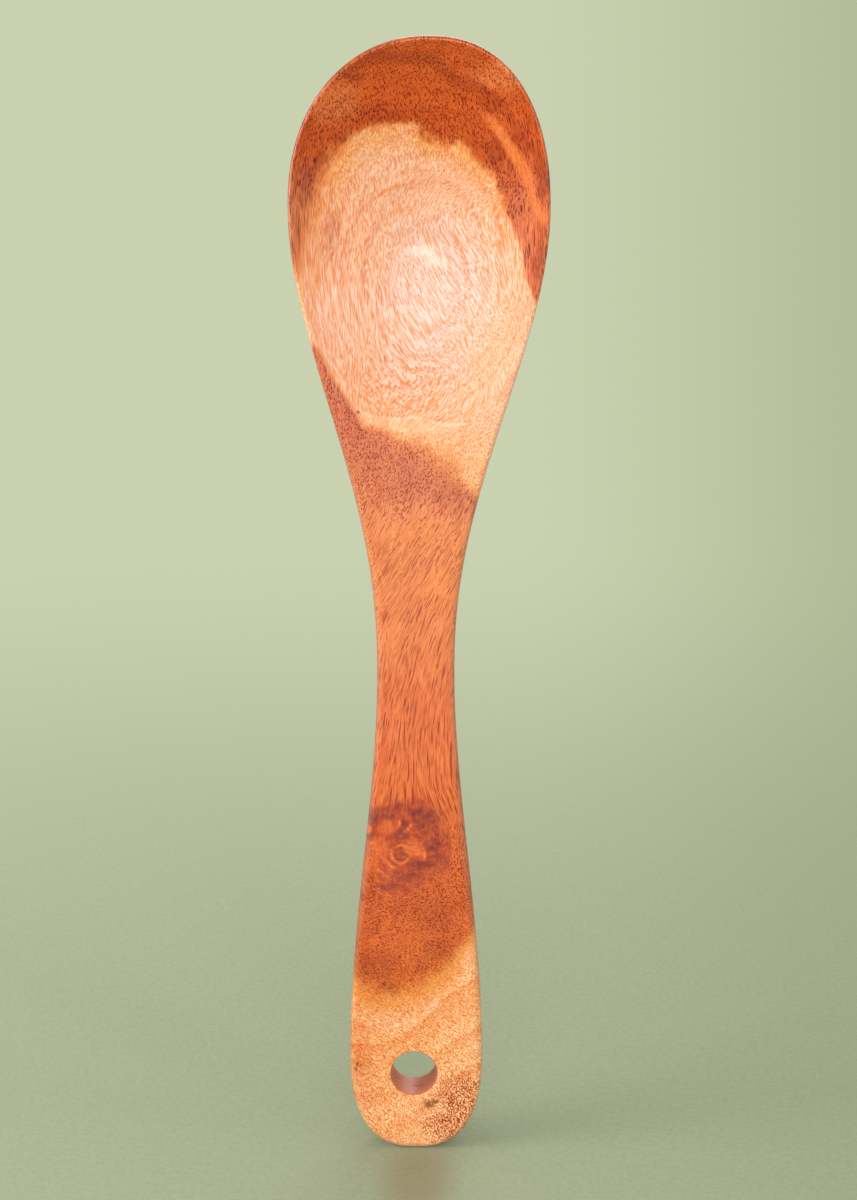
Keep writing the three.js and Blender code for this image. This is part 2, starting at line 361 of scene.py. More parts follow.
def noise(vector, scale, detail=2.0, roughness=0.5, start=(0.0, 0.0, 0.0), output="Fac"):
    node = nodes.new("ShaderNodeTexNoise")
    feed(node.inputs["Vector"], vector_calc("MULTIPLY_ADD", vector, scale, start))
    node.inputs["Scale"].default_value = 1.0
    node.inputs["Detail"].default_value = detail
    node.inputs["Roughness"].default_value = roughness
    return node.outputs[output]


def tint(*colour):
    return (*colour, 1.0)


def blend(share, first, second, way="MIX"):
    node = nodes.new("ShaderNodeMix")
    node.data_type, node.blend_type = "RGBA", way
    for slot, value in ((0, share), (6, first), (7, second)):
        feed(node.inputs[slot], value)
    return node.outputs[2]


def bands(value, low, high, stops):
    node = nodes.new("ShaderNodeValToRGB")
    ramp = node.color_ramp
    ramp.interpolation = "EASE"
    while len(ramp.elements) < len(stops):
        ramp.elements.new(0.5)
    for element, (at, colour) in zip(ramp.elements, stops):
        element.position = (at - low) / (high - low)
        element.color = tint(*colour)
    feed(node.inputs["Fac"], calc("DIVIDE", calc("SUBTRACT", value, low), high - low))
    return node.outputs["Color"]


board = nodes.new("ShaderNodeTexCoord").outputs["Object"]
board = vector_calc("MULTIPLY_ADD", board, (1000.0, 1000.0, 1000.0), (0.0, 0.0, WAIST_HEIGHT))
split = nodes.new("ShaderNodeSeparateXYZ")
feed(split.inputs[0], board)
X, Y, Z = split.outputs

# Lie of the fibres: up the handle and the bowl, leaning and diving where the branch left the trunk, and
# parting round the knot. Slopes are sideways and through the board for each millimetre of height.
FIBRE_LIE = np.array([
    (0, 0.10, 0.60), (25, -0.30, 0.60), (45, -0.60, 0.85), (68, -0.60, 0.85), (80, -0.20, 0.60),
    (92, 0.00, 0.15), (98, 0.00, 0.05), (110, 0.02, 0.02), (132, 0.18, 0.02), (150, 0.40, 0.02),
    (166, 0.58, 0.04), (180, 0.50, 0.30), (194, 0.10, 0.60), (212, -0.15, 0.30), (240, 0.00, 0.05),
    (300, 0.00, 0.00),
])
lie_steps = np.diff(FIBRE_LIE[:, 0])[:, None] * (FIBRE_LIE[1:, 1:] + FIBRE_LIE[:-1, 1:]) / 2
lie = np.concatenate([[[0, 0]], np.cumsum(lie_steps, axis=0)])
aside = calc("SUBTRACT", X, curve(Z, list(zip(FIBRE_LIE[:, 0], lie[:, 0]))))
inside = calc("SUBTRACT", Y, curve(Z, list(zip(FIBRE_LIE[:, 0], lie[:, 1]))))
KNOT_X, KNOT_Z, KNOT_REACH = -2.0, 89.0, 12.0
knot_x = calc("SUBTRACT", X, KNOT_X)
knot_z = calc("SUBTRACT", Z, KNOT_Z)
knot_far = calc("ADD", product(knot_x, knot_x), product(knot_z, knot_z))
parting = calc("DIVIDE", KNOT_REACH**2, calc("ADD", knot_far, KNOT_REACH**2))
aside = calc("SUBTRACT", aside, product(knot_x, 0.9, parting))
SWIRL_X, SWIRL_Z = 9.0, 232.0
swirl_z = calc("SUBTRACT", Z, SWIRL_Z)
swirl_near = fade(calc("ABSOLUTE", calc("SUBTRACT", X, SWIRL_X)), 24.0, 0.0)
swirl_near = product(swirl_near, fade(calc("ABSOLUTE", swirl_z), 36.0, 16.0))
aside = calc("ADD", aside, product(swirl_z, swirl_near, 0.6))
wander = noise(board, (0.11, 0.11, 0.055))
wiggle = noise(board, (0.75, 0.75, 0.6), 1.0, 0.5, (4.0, 4.0, 4.0))
wiggle_size = curve(Z, ((0, 1.3), (40, 1.2), (60, 0.35), (90, 0.15), (240, 0.15), (262, 0.5), (300, 0.4)))
wiggle = product(wiggle, wiggle_size)
stagger = noise(board, (0.5, 0.0, 0.03), 1.0, 0.5, (7.0, 0.0, 2.0))
aside = calc("ADD", aside, calc("MULTIPLY_ADD", wander, 2.6, wiggle))
inside = calc("ADD", inside, calc("MULTIPLY_ADD", stagger, 1.4, wiggle))
wander_size = curve(Z, ((0, 3.0), (85, 1.0), (98, 0.3), (170, 0.4), (190, 3.0), (300, 3.0)))
inside = calc("MULTIPLY_ADD", wander, wander_size, inside)
fibre = joined(aside, inside, Z)

# Heartwood and sapwood: the border is a curved sheet in the board, given by its depth at each height, its
# tilt from left to right, a bow near the foot and a tongue in the bowl. Positive depth is heartwood.
drift = noise(board, (0.22, 0.22, 0.22), 3.0, 0.5, output="Color")
drifted = vector_calc("MULTIPLY_ADD", drift, (5.0, 0.0, 5.0), (-2.5, 0.0, -2.5))
drifted = vector_calc("MULTIPLY", vector_calc("ADD", board, drifted), (1.0, 0.0, 1.0))
nudged = vector_calc("MULTIPLY_ADD", drift, (1.6, 0.0, 1.6), (-0.8, 0.0, -0.8))
nudged = vector_calc("MULTIPLY", vector_calc("ADD", board, nudged), (1.0, 0.0, 1.0))


def patches(place, *spots):
    total = 0.0
    for x, z, wide, tall in spots:
        away = vector_calc("MULTIPLY_ADD", place, (1 / wide, 0.0, 1 / tall), (-x / wide, 0.0, -z / tall))
        total = calc("MAXIMUM", total, fade(vector_calc("LENGTH", away), 1.0, 0.3))
    return total


BORDER_DEPTH = (
    (-30, -30), (0, -20), (32.5, -9.8), (42.5, -5.75), (53, -1.5), (66, 4), (82, 10), (95, 12), (162, 12),
    (172, 8), (180, 1.6), (185, -1.4), (190, -3.3), (195, -4.6), (198.6, -6.4), (202, -8), (205.5, -8.9),
    (210, -9.6), (216, -11), (225, -11), (234, -9.3), (239, -5.4), (244, -3.5), (249, -2.3), (253, -1.4),
    (262, -0.5), (267, 0.2), (273, 1.0), (277.5, 1.3), (285, 3.5), (300, 9),
)
BORDER_TILT = ((0, 0), (90, 0), (170, -0.2), (208, -0.2), (218, -0.25), (228, 0), (236, 0.105), (300, 0.105))
bow = calc("ADD", X, 7.0)
bow = product(bow, bow, fade(Z, 85.0, 60.0, 0.0, 0.038))
depth = calc("SUBTRACT", curve(calc("SUBTRACT", Z, bow), BORDER_DEPTH), Y)
depth = calc("MULTIPLY_ADD", X, curve(Z, BORDER_TILT), depth)
tongue = patches(nudged, (4.5, 273.0, 7.0, 6.0))
ragged = noise(board, (0.16, 0.16, 0.12), 3.0, 0.55, (3.0, 1.0, 7.0))
brushed = noise(fibre, (0.9, 0.9, 0.14), 2.0, 0.6, (5.0, 2.0, 0.0))
left_wall = product(fade(X, -12.0, -22.0), fade(Z, 225.0, 240.0))
left_side = product(fade(X, -20.0, -26.0), fade(Z, 238.0, 252.0), fade(Z, 276.0, 264.0))
right_edge = product(fade(X, 11.0, 15.5), fade(Z, 178.0, 185.0), fade(Z, 198.0, 190.0))
lip_line = calc("MULTIPLY_ADD", X, 1.7, calc("MULTIPLY_ADD", brushed, 4.0, Z))
left_lip = product(fade(lip_line, 182.0, 176.0), fade(X, -13.0, -16.0))
left_lip = product(left_lip, fade(Z, 224.0, 208.0), fade(Z, 196.0, 204.0))
lips = calc("MULTIPLY_ADD", right_edge, -1.6, calc("MULTIPLY_ADD", left_lip, 3.6, left_wall))
heart = calc("ADD", depth, calc("MULTIPLY_ADD", tongue, 1.8, lips))
heart = calc("MULTIPLY_ADD", left_side, 1.7, heart)
heart = calc("MULTIPLY_ADD", ragged, 3.0, calc("SUBTRACT", heart, 1.5))
heart = calc("MULTIPLY_ADD", brushed, 1.6, calc("SUBTRACT", heart, 0.8))
crispness = curve(Z, ((0, 0.42), (60, 0.42), (85, 0.8), (170, 0.55), (205, 0.55), (228, 1.0), (300, 1.0)))
heart = product(heart, crispness, calc("MULTIPLY_ADD", left_wall, -0.68, 1.0))
in_heart = fade(heart, -0.6, 0.8)
in_sap = calc("SUBTRACT", 1.0, in_heart)

# Figure of the board as seen from the front: darker and lighter clouds in the heartwood, a bright streak
# beside the rim of the bowl, growth lines, and a rippled corner and a few dark specks round the hole.
dark_cloud = patches(
    drifted, (-17, 275, 5, 2.6), (-23, 269, 4, 4), (-27, 263, 3, 6), (-15, 290, 6, 2),
    (20.5, 271, 3.5, 7), (32, 265, 2.6, 8), (26, 275, 3, 3), (31.5, 243, 2, 8), (20, 283, 5, 4),
)
tip_z = curve(X, (
    (-25, 287), (-15, 292), (-9, 295), (-3.7, 294.7), (5, 293), (9.4, 289), (18.4, 285.2), (26, 276),
))
tip_line = line(calc("MULTIPLY_ADD", ragged, 4.0, Z), calc("ADD", tip_z, 2.0), 2.6, 0.2)
dark_cloud = calc("MAXIMUM", dark_cloud, product(tip_line, 0.8))
end_cloud = patches(drifted, (-11, 52.5, 9, 5), (-7, 48, 5, 4), (6, 59, 5, 4), (6, 67, 6, 7))
dark_cloud = calc("MAXIMUM", dark_cloud, product(end_cloud, 0.5))
light_cloud = patches(
    drifted, (21, 290, 9, 5), (-21, 284, 9, 9), (-30.5, 254, 2.5, 10), (6, 158, 6, 10), (-2, 172, 10, 6),
)
pink_cloud = patches(drifted, (-20, 228, 10, 16), (2, 215, 18, 12), (14, 236, 9, 18))
brown_cloud = patches(drifted, (-25, 251, 9, 20), (-17, 24, 7, 20))
mauve_cloud = patches(drifted, (-21.3, 250, 2.2, 9))
# Paler, pinker sapwood in the middle of the bowl; its brightest spot is a painted sheen.
pale_sap_and_sheen = patches(drifted, (5, 235, 21, 27), (4, 243, 8, 7))
bright_cloud = patches(drifted, (-7, 38, 11, 5), (2, 42, 8, 3), (14, 54, 3, 8))
streak_x = curve(Z, (
    (240, 33.0), (255, 32.0), (257, 30.2), (264.7, 27.5), (270.7, 24.8), (278.6, 19.0), (300, 2.0),
))
streak = line(calc("MULTIPLY_ADD", ragged, 4.0, X), calc("ADD", streak_x, 2.0), 2.6, 0.15)
streak = product(streak, fade(Z, 252.0, 255.0), fade(Z, 283.0, 277.0), fade(X, 10.0, 16.0))
growth_z = curve(X, (
    (-20, 31), (-10, 30.6), (-7, 31.5), (-4, 33.5), (0, 36), (3, 38.6), (5, 41), (10, 46), (20, 52),
))
growth = calc("SUBTRACT", calc("MULTIPLY_ADD", brushed, 2.0, Z), growth_z)
growth_lines = 0.0
for step, share in ((1.0, 1.0), (-3.5, 0.6), (-13.5, 0.8), (-24.0, 0.7), (7.0, 0.35)):
    late_wood = product(fade(growth, step - 6.0, step), fade(growth, step + 0.9, step - 0.1), share)
    growth_lines = calc("MAXIMUM", growth_lines, late_wood)
arc_far = vector_calc("LENGTH", vector_calc("MULTIPLY_ADD", nudged, (1.0, 0.0, 0.9), (-1.0, 0.0, -0.9 * 240)))
arc = calc("MAXIMUM", line(arc_far, 20.0, 0.7), product(line(arc_far, 14.5, 0.9), 0.6))
arc = product(arc, fade(X, 4.0, -8.0), fade(Z, 226.0, 244.0))
# Heel of the hollow: a thin painted highlight along the crease and a thin painted shade just inside the
# hollow stand in for the shading of the edge; a lighter orange band runs just below the crease.
crease_z = curve(X, (
    (-26, 226), (-23.5, 219.9), (-19, 212.8), (-14.9, 205.2), (-9.1, 202.7), (1.9, 202.1), (8.3, 201),
    (13.7, 201.5), (18.1, 204.6), (20.6, 210.1), (24, 219),
))
crease = calc("SUBTRACT", Z, calc("MULTIPLY_ADD", ragged, 1.6, crease_z))
on_front = fade(Y, 1.0, -2.0)
crease_seen = fade(noise(board, (0.14, 0.0, 0.14), 3.0, 0.6, (6.0, 0.0, 3.0)), 0.38, 0.62)
crease_seen = product(crease_seen, fade(X, -24.5, -22.5), fade(X, 21.5, 19.5))
painted_crease_highlight = product(line(crease, 0.1, 0.6), on_front, crease_seen)
painted_crease_shade = product(line(crease, 1.2, 1.0), on_front)
crease_band = product(line(crease, -1.4, 2.4, 0.2), on_front, fade(X, -20.0, -12.0), fade(X, 12.0, 2.0))
specks = patches(
    nudged, (3.5, 13.4, 2.0, 1.6), (5.2, 14.0, 1.4, 1.0), (-16.3, 25.0, 0.7, 1.0), (-16.5, 23.5, 0.6, 0.9),
    (-15.3, 24.8, 0.5, 0.5), (-14.9, 205.2, 0.8, 0.7),
)
specks = product(specks, fade(noise(board, (1.6, 1.6, 1.6), 2.0, 0.6, (3.0, 3.0, 3.0)), 0.28, 0.44))
rippled = patches(drifted, (12, 14.5, 9, 11), (9, 7, 10, 7))

# Knot: the end of a branch that the handle was cut through, with rings round its eye, glowing crescents
# beside it and dark folds of wood. Its outline frays along the fibres.
EYE_X, EYE_Z = -4.0, 85.3
eye = vector_calc("MULTIPLY", vector_calc("ADD", nudged, (-EYE_X, 0.0, -EYE_Z)), (1.0, 0.0, 1.1))
gnarl = noise(board, (0.4, 0.4, 0.4), 4.0, 0.6, (1.0, 5.0, 8.0))
eye_far = calc("MULTIPLY_ADD", gnarl, 2.2, calc("SUBTRACT", vector_calc("LENGTH", eye), 1.1))
twisted = vector_calc("MULTIPLY_ADD", drift, (4.4, 0.0, 4.4), (-2.2, 0.0, -2.2))
twisted = vector_calc("MULTIPLY", vector_calc("ADD", board, twisted), (1.0, 0.0, 1.0))
knot = patches(
    twisted, (-2, 88, 16.5, 15.5), (-11, 93.4, 7, 6.5), (-6, 94.8, 8, 7.5), (0, 95, 9, 8.5), (-5, 78.5, 9, 5),
)
knot = fade(calc("MULTIPLY_ADD", brushed, 0.6, knot), 0.2, 1.1)
rings = calc("MAXIMUM", line(eye_far, 2.7, 0.7), product(line(eye_far, 0.9, 0.4), 0.5))
rings = calc("MAXIMUM", rings, product(line(eye_far, 6.0, 1.1), patches(nudged, (2, 86, 3.5, 4.5))))
sweep = 0.0
for far in (4.6, 7.8, 9.9):
    sweep = calc("MAXIMUM", sweep, line(eye_far, far, 0.8))
rings = calc("MAXIMUM", rings, product(sweep, patches(nudged, (-9.5, 82.5, 8, 8))))
burr = vector_calc("MULTIPLY", vector_calc("ADD", nudged, (-5.0, 0.0, -92.0)), (1.0, 0.0, 0.9))
burr = calc("MULTIPLY_ADD", gnarl, 2.2, vector_calc("LENGTH", burr))
burr = product(fade(calc("SINE", product(burr, 5.0)), 0.0, 0.9), patches(nudged, (5.5, 92, 5.5, 6)))
burl = fade(noise(nudged, (0.5, 0.5, 0.5), 3.0, 0.6, (2.0, 4.0, 6.0)), 0.38, 0.62)
knot_glow = patches(
    nudged, (-10, 87, 4.4, 4.6), (-12, 83, 3, 4), (2, 85.6, 1.6, 2.6), (-0.5, 87, 4, 3.4),
    (-4.5, 94.2, 0.6, 1.3), (-2.9, 91.9, 0.9, 0.7), (-2.2, 92.6, 0.9, 0.7), (-1.4, 93.4, 0.8, 0.8),
    (-12.6, 92, 1.2, 2), (10, 90, 1.4, 8),
)
knot_glow = calc("MAXIMUM", product(knot_glow, calc("MULTIPLY_ADD", burl, 0.35, 0.6)), product(burl, 0.3))
knot_glow = calc("MAXIMUM", knot_glow, product(patches(nudged, (-8.2, 93.1, 3.6, 3.8)), 0.55))
knot_glow = calc("MAXIMUM", knot_glow, product(rings, calc("MULTIPLY_ADD", burl, 0.5, 0.45)))
knot_glow = calc("MAXIMUM", knot_glow, product(burr, calc("MULTIPLY_ADD", burl, 0.4, 0.1)))
knot_fold = patches(
    twisted, (-11.5, 95.4, 5, 3), (-8, 97, 5, 3), (1.5, 96.2, 5.5, 2.8), (6, 95.8, 4, 2.6),
    (-3.7, 92.8, 1.8, 3.6), (-4, 90.4, 2.6, 2), (1, 94.4, 3, 3.4), (4.2, 87.6, 4.4, 2.4),
    (-12, 90.3, 1.6, 1.6), (2, 82.2, 6.5, 2.6), (7, 84, 4, 2.8), (-8, 76.4, 5, 1.8),
)
faint_fold = patches(twisted, (5.5, 91.5, 6.5, 7.5), (-1, 98, 8, 3.6), (-1, 79, 9, 3))
knot_fold = calc("MAXIMUM", knot_fold, product(faint_fold, 0.55))
knot_fold = product(knot_fold, calc("MULTIPLY_ADD", burl, -0.35, 0.95))
knot_fold = calc("MAXIMUM", knot_fold, product(fade(eye_far, 2.3, 1.3), 0.5))
knot_fold = product(knot_fold, calc("MULTIPLY_ADD", knot_glow, -0.75, 1.0))

# Pores: short dark vessels in the heartwood and pale flecks in the sapwood, long where the surface runs
# along the fibres and mere dots where it cuts across them. Near the foot the sapwood curls
# like a thumb print.


def vessels(spacing, run, start, rim, core):
    node = nodes.new("ShaderNodeTexVoronoi")
    scale = (1 / spacing, 1 / spacing, 1 / run)
    feed(node.inputs["Vector"], vector_calc("MULTIPLY_ADD", fibre, scale, start))
    node.inputs["Scale"].default_value = 1.0
    node.inputs["Randomness"].default_value = 0.85
    return fade(node.outputs["Distance"], rim, core)


crowding = noise(board, (0.3, 0.3, 0.22), 2.0, 0.5, (2.0, 8.0, 4.0))
crowded = curve(Z, ((0, 0.3), (80, 0.3), (105, 0.2), (165, 0.18), (190, 0.24), (255, 0.25), (300, 0.28)))
pore = vessels(0.44, 16.0, (11.0, 4.0, 2.0), calc("MULTIPLY_ADD", crowding, 0.5, crowded), 0.18)
fine_pore = vessels(0.4, 6.0, (1.0, 17.0, 5.0), 0.44, 0.12)
light_fleck = vessels(0.46, 8.0, (23.0, 9.0, 1.0), 0.46, 0.16)
thread = fade(noise(fibre, (3.2, 3.2, 0.22), 2.0, 0.6, (31.0, 6.0, 2.0)), 0.4, 0.6)
curl = fade(noise(fibre, (3.1, 3.1, 0.65), 1.0, 0.5, (8.0, 2.0, 5.0)), 0.44, 0.56)
grain = blend(fade(Z, 75.0, 50.0), thread, curl)

# Colours: heartwood by height, darker and mauve along its border, and sapwood that warms towards it.
# Growth lines, threads, pores, flecks and stains are laid over both.
HEART = (
    (40, (0.78, 0.18, 0.03)), (75, (0.73, 0.146, 0.032)), (95, (0.82, 0.19, 0.05)),
    (125, (0.80, 0.195, 0.066)), (148, (0.86, 0.258, 0.088)), (166, (0.87, 0.285, 0.096)),
    (186, (0.80, 0.25, 0.10)), (208, (0.80, 0.235, 0.098)), (236, (0.80, 0.21, 0.072)),
    (256, (0.74, 0.18, 0.05)), (274, (0.66, 0.112, 0.016)), (300, (0.72, 0.134, 0.018)),
)
END_SAP, BOWL_SAP = (0.925, 0.465, 0.188), (0.92, 0.48, 0.26)
PALE_SAP_AND_SHEEN, PINK_SAP = (0.93, 0.62, 0.46), (0.92, 0.55, 0.37)
WARM_SAP, AMBER = (0.90, 0.39, 0.12), (0.84, 0.30, 0.065)
heart_colour = bands(Z, 40.0, 300.0, HEART)
mottle = noise(board, (0.12, 0.12, 0.07), 3.0, 0.55, (9.0, 9.0, 3.0))
heart_colour = blend(fade(mottle, 0.35, 0.65, 0.0, 0.3), heart_colour, tint(0.72, 0.6, 0.55), "MULTIPLY")
heart_colour = blend(product(light_cloud, 0.5), heart_colour, tint(0.88, 0.28, 0.08))
heart_colour = blend(product(dark_cloud, 0.75), heart_colour, tint(0.62, 0.5, 0.62), "MULTIPLY")
heart_colour = blend(product(streak, 0.85), heart_colour, tint(0.87, 0.24, 0.056))
knot_colour = blend(knot_glow, tint(0.455, 0.062, 0.026), tint(0.88, 0.20, 0.047))
knot_colour = blend(product(knot_fold, 0.9), knot_colour, tint(0.23, 0.042, 0.032))
heart_colour = blend(knot, heart_colour, knot_colour)
dusk = curve(Z, ((0, 0.0), (90, 0.0), (170, 0.9), (205, 0.9), (230, 0.6), (300, 0.6)))
dusk = product(dusk, fade(heart, 0.2, 1.5), fade(heart, 4.2, 2.2))
heart_colour = blend(dusk, heart_colour, tint(0.89, 0.83, 0.90), "MULTIPLY")
heart_colour = blend(left_side, heart_colour, tint(0.93, 1.14, 1.5), "MULTIPLY")

sap_colour = blend(fade(Z, 70.0, 180.0), tint(*END_SAP), tint(*BOWL_SAP))
sap_colour = blend(product(bright_cloud, 0.85), sap_colour, tint(0.95, 0.60, 0.33))
sap_colour = blend(product(pink_cloud, 0.65), sap_colour, tint(*PINK_SAP))
# Pale sapwood in the middle of the bowl, partly a painted sheen.
sap_colour = blend(product(pale_sap_and_sheen, 0.9), sap_colour, tint(*PALE_SAP_AND_SHEEN))
warmth = curve(Z, (
    (0, 0.5), (80, 0.5), (170, 0.9), (186, 0.7), (202, 0.4), (220, 0.25), (254, 0.3), (268, 0.9), (300, 1.0),
))
sap_colour = blend(product(fade(heart, -5.0, -0.8), warmth), sap_colour, tint(*WARM_SAP))
sap_colour = blend(product(brown_cloud, 0.85), sap_colour, tint(0.90, 0.76, 0.68), "MULTIPLY")
sap_colour = blend(product(mauve_cloud, 0.7), sap_colour, tint(0.80, 0.68, 0.76), "MULTIPLY")
amber = curve(Z, ((0, 1.0), (80, 1.0), (170, 0.3), (240, 0.3), (262, 0.5), (300, 0.5)))
sap_colour = blend(product(fade(heart, -1.1, 0.2), amber), sap_colour, tint(*AMBER))
heart_colour = blend(product(fade(heart, 1.2, 0.0), amber), heart_colour, tint(*AMBER))
colour = blend(in_heart, sap_colour, heart_colour)
growth_lines = calc("MAXIMUM", product(growth_lines, fade(Z, 75.0, 60.0)), arc)
colour = blend(product(growth_lines, in_sap, 0.8), colour, tint(0.92, 0.66, 0.48), "MULTIPLY")
layer = calc("MULTIPLY_ADD", ragged, 1.6, calc("MULTIPLY_ADD", X, 0.05, Y))
layer = fade(calc("SINE", product(layer, 3.0)), 0.3, 1.0, 0.0, 0.55)
colour = blend(layer, colour, tint(0.91, 0.76, 0.66), "MULTIPLY")

heart_grain = blend(grain, tint(0.90, 0.82, 0.84), tint(1.06, 1.12, 1.10))
sap_grain = blend(grain, tint(0.94, 0.67, 0.45), tint(1.03, 1.25, 1.55))
end_grain = blend(grain, tint(0.92, 0.56, 0.28), tint(1.05, 1.38, 1.88))
sap_grain = blend(fade(Z, 80.0, 55.0), sap_grain, end_grain)
colour = blend(1.0, colour, blend(in_heart, sap_grain, heart_grain), "MULTIPLY")
dots = calc("MAXIMUM", pore, product(fine_pore, 0.55))
dots = product(dots, fade(heart, -0.1, 0.9), calc("SUBTRACT", 1.0, product(knot, 0.75)))
dots = product(dots, calc("SUBTRACT", 1.0, product(streak, 0.7)))
darkness = curve(Z, ((0, 1.0), (85, 1.0), (110, 0.8), (165, 0.75), (190, 1.0), (300, 1.0)))
in_neck = product(fade(Z, 105.0, 150.0), fade(Z, 228.0, 208.0))
pore_colour = blend(in_neck, tint(0.28, 0.072, 0.17), tint(0.35, 0.11, 0.30))
colour = blend(product(dots, darkness), colour, pore_colour, "MULTIPLY")
colour = blend(product(pore, in_sap, 0.5), colour, tint(0.88, 0.62, 0.46), "MULTIPLY")
# Pale flecks in the sapwood, whiter towards the middle of the bowl, where the extra white is painted sheen on
# the fibres.
whiteness = calc("MULTIPLY_ADD", pale_sap_and_sheen, 0.45, 0.35)
colour = blend(product(light_fleck, in_sap, fade(Z, 60.0, 80.0), whiteness), colour, tint(0.99, 0.86, 0.74))
# Painted sheen: a whitish highlight, streaked by the grain, where the hollow of the bowl is deepest.
painted_sheen = patches(nudged, (2.0, 244.5, 6.0, 2.6), (5.0, 242.0, 3.5, 2.2))
colour = blend(product(painted_sheen, calc("MULTIPLY_ADD", grain, 0.5, 0.35)), colour, tint(1.0, 0.88, 0.74))
colour = blend(rippled, colour, tint(1.0, 0.87, 0.74), "MULTIPLY")
ripples = product(rippled, calc("SUBTRACT", 1.0, curl), 0.95)
colour = blend(ripples, colour, tint(0.45, 0.12, 0.075), "MULTIPLY")
# Lighter band below the crease at the heel of the hollow, then the painted shade and painted highlight along
# the crease.
colour = blend(product(crease_band, in_sap, 0.3), colour, tint(0.97, 0.66, 0.38))
colour = blend(product(painted_crease_shade, 0.2), colour, tint(0.84, 0.66, 0.58), "MULTIPLY")
colour = blend(product(painted_crease_highlight, 0.35), colour, tint(0.99, 0.80, 0.62))
colour = blend(product(specks, 0.85), colour, tint(0.22, 0.07, 0.028))

# Wall of the hanging hole: end grain that drank more oil than the faces, mauve brown, with a drying
# crack round its middle.
hole_far = joined(calc("SUBTRACT", X, HOLE_OFFSET), 0.0, calc("SUBTRACT", Z, HOLE_HEIGHT))
hole_far = vector_calc("LENGTH", hole_far)
in_hole = fade(hole_far, HOLE_RADIUS + 0.28, HOLE_RADIUS + 0.08)
crack = line(calc("MULTIPLY_ADD", ragged, 2.0, Y), calc("MULTIPLY_ADD", X, -0.12, 1.0), 0.7)
crack = product(crack, calc("MAXIMUM", line(X, 0.6, 2.2), line(X, -5.6, 0.9)))
wall_colour = blend(grain, tint(0.57, 0.136, 0.060), tint(0.68, 0.183, 0.082))
wall_colour = blend(product(crack, 0.8), wall_colour, tint(0.13, 0.075, 0.065))
colour = blend(in_hole, colour, wall_colour)

# Sanded edges: the side walls are painted darker than the faces, as painted shade where they turn away from
# the light, and hands have polished the round corners.
edge = nodes.new("ShaderNodeAttribute")
edge.attribute_name = "edge"
edge = edge.outputs["Fac"]
colour = blend(fade(edge, 0.5, 0.8, 0.0, 0.6), colour, tint(0.74, 0.60, 0.58), "MULTIPLY")

relief = nodes.new("ShaderNodeBump")
relief.inputs["Strength"].default_value = 0.3
relief.inputs["Distance"].default_value = 0.0001
feed(relief.inputs["Height"], calc("SUBTRACT", product(grain, 0.4), calc("MAXIMUM", pore, fine_pore)))
feed(finish.inputs["Normal"], relief.outputs["Normal"])
feed(finish.inputs["Base Color"], colour)
polish = product(fade(edge, 0.02, 0.25), fade(edge, 0.95, 0.7), fade(Z, 195.0, 230.0, 1.0, 0.35))
feed(finish.inputs["Coat Weight"], polish)
finish.inputs["Coat Roughness"].default_value = 0.16
finish.inputs["Coat IOR"].default_value = 1.8
finish.inputs["Roughness"].default_value = 0.3
finish.inputs["Specular IOR Level"].default_value = 0.26

# Stage: a plain sage paper floor that runs out into a backdrop of the same paper, soft light from in front,
# both sides and behind, strip lights beside the edges, and the camera at the photograph's height.
PAPER, BACKDROP, SHADED = (0.378, 0.428, 0.279), (0.59, 0.64, 0.435), (0.43, 0.475, 0.30)
REACH, LEVEL = 8.0, cad_low.z
floor_mesh = bpy.data.meshes.new("floor")
floor_corners = [(x * REACH, y * REACH, LEVEL) for x, y in ((-1, -1), (1, -1), (1, 1), (-1, 1))]
floor_mesh.from_pydata(floor_corners, [], [(0, 1, 2, 3)])
floor = bpy.data.objects.new("floor", floor_mesh)
bpy.context.scene.collection.objects.link(floor)
paper = bpy.data.materials.new("sage_paper")
paper.use_nodes = True
nodes, links = paper.node_tree.nodes, paper.node_tree.links
sheet_of_paper = nodes["Principled BSDF"]
ground = nodes.new("ShaderNodeTexCoord").outputs["Object"]
ground_split = nodes.new("ShaderNodeSeparateXYZ")
feed(ground_split.inputs[0], ground)
# Painted shade: the paper darkens towards the right.
painted_shade_right = fade(ground_split.outputs[0], 0.0, 0.16)
sheet_colour = blend(painted_shade_right, tint(*PAPER), tint(*(0.9 * part for part in PAPER)))
pulp = noise(ground, (700.0, 700.0, 700.0), 2.0, 0.6)
sheet_colour = blend(fade(pulp, 0.3, 0.7, 0.0, 0.16), sheet_colour, tint(0.5, 0.5, 0.48), "MULTIPLY")
# Painted reflection of the foot: a warm, darker patch on the paper in front of it.
painted_foot_reflection = vector_calc("LENGTH", vector_calc("MULTIPLY_ADD", ground, (70.0, 28.0, 0.0), (0.0, 0.75, 0.0)))
sheet_colour = blend(fade(painted_foot_reflection, 1.0, 0.2, 0.0, 0.75), sheet_colour, tint(0.85, 0.60, 0.48), "MULTIPLY")
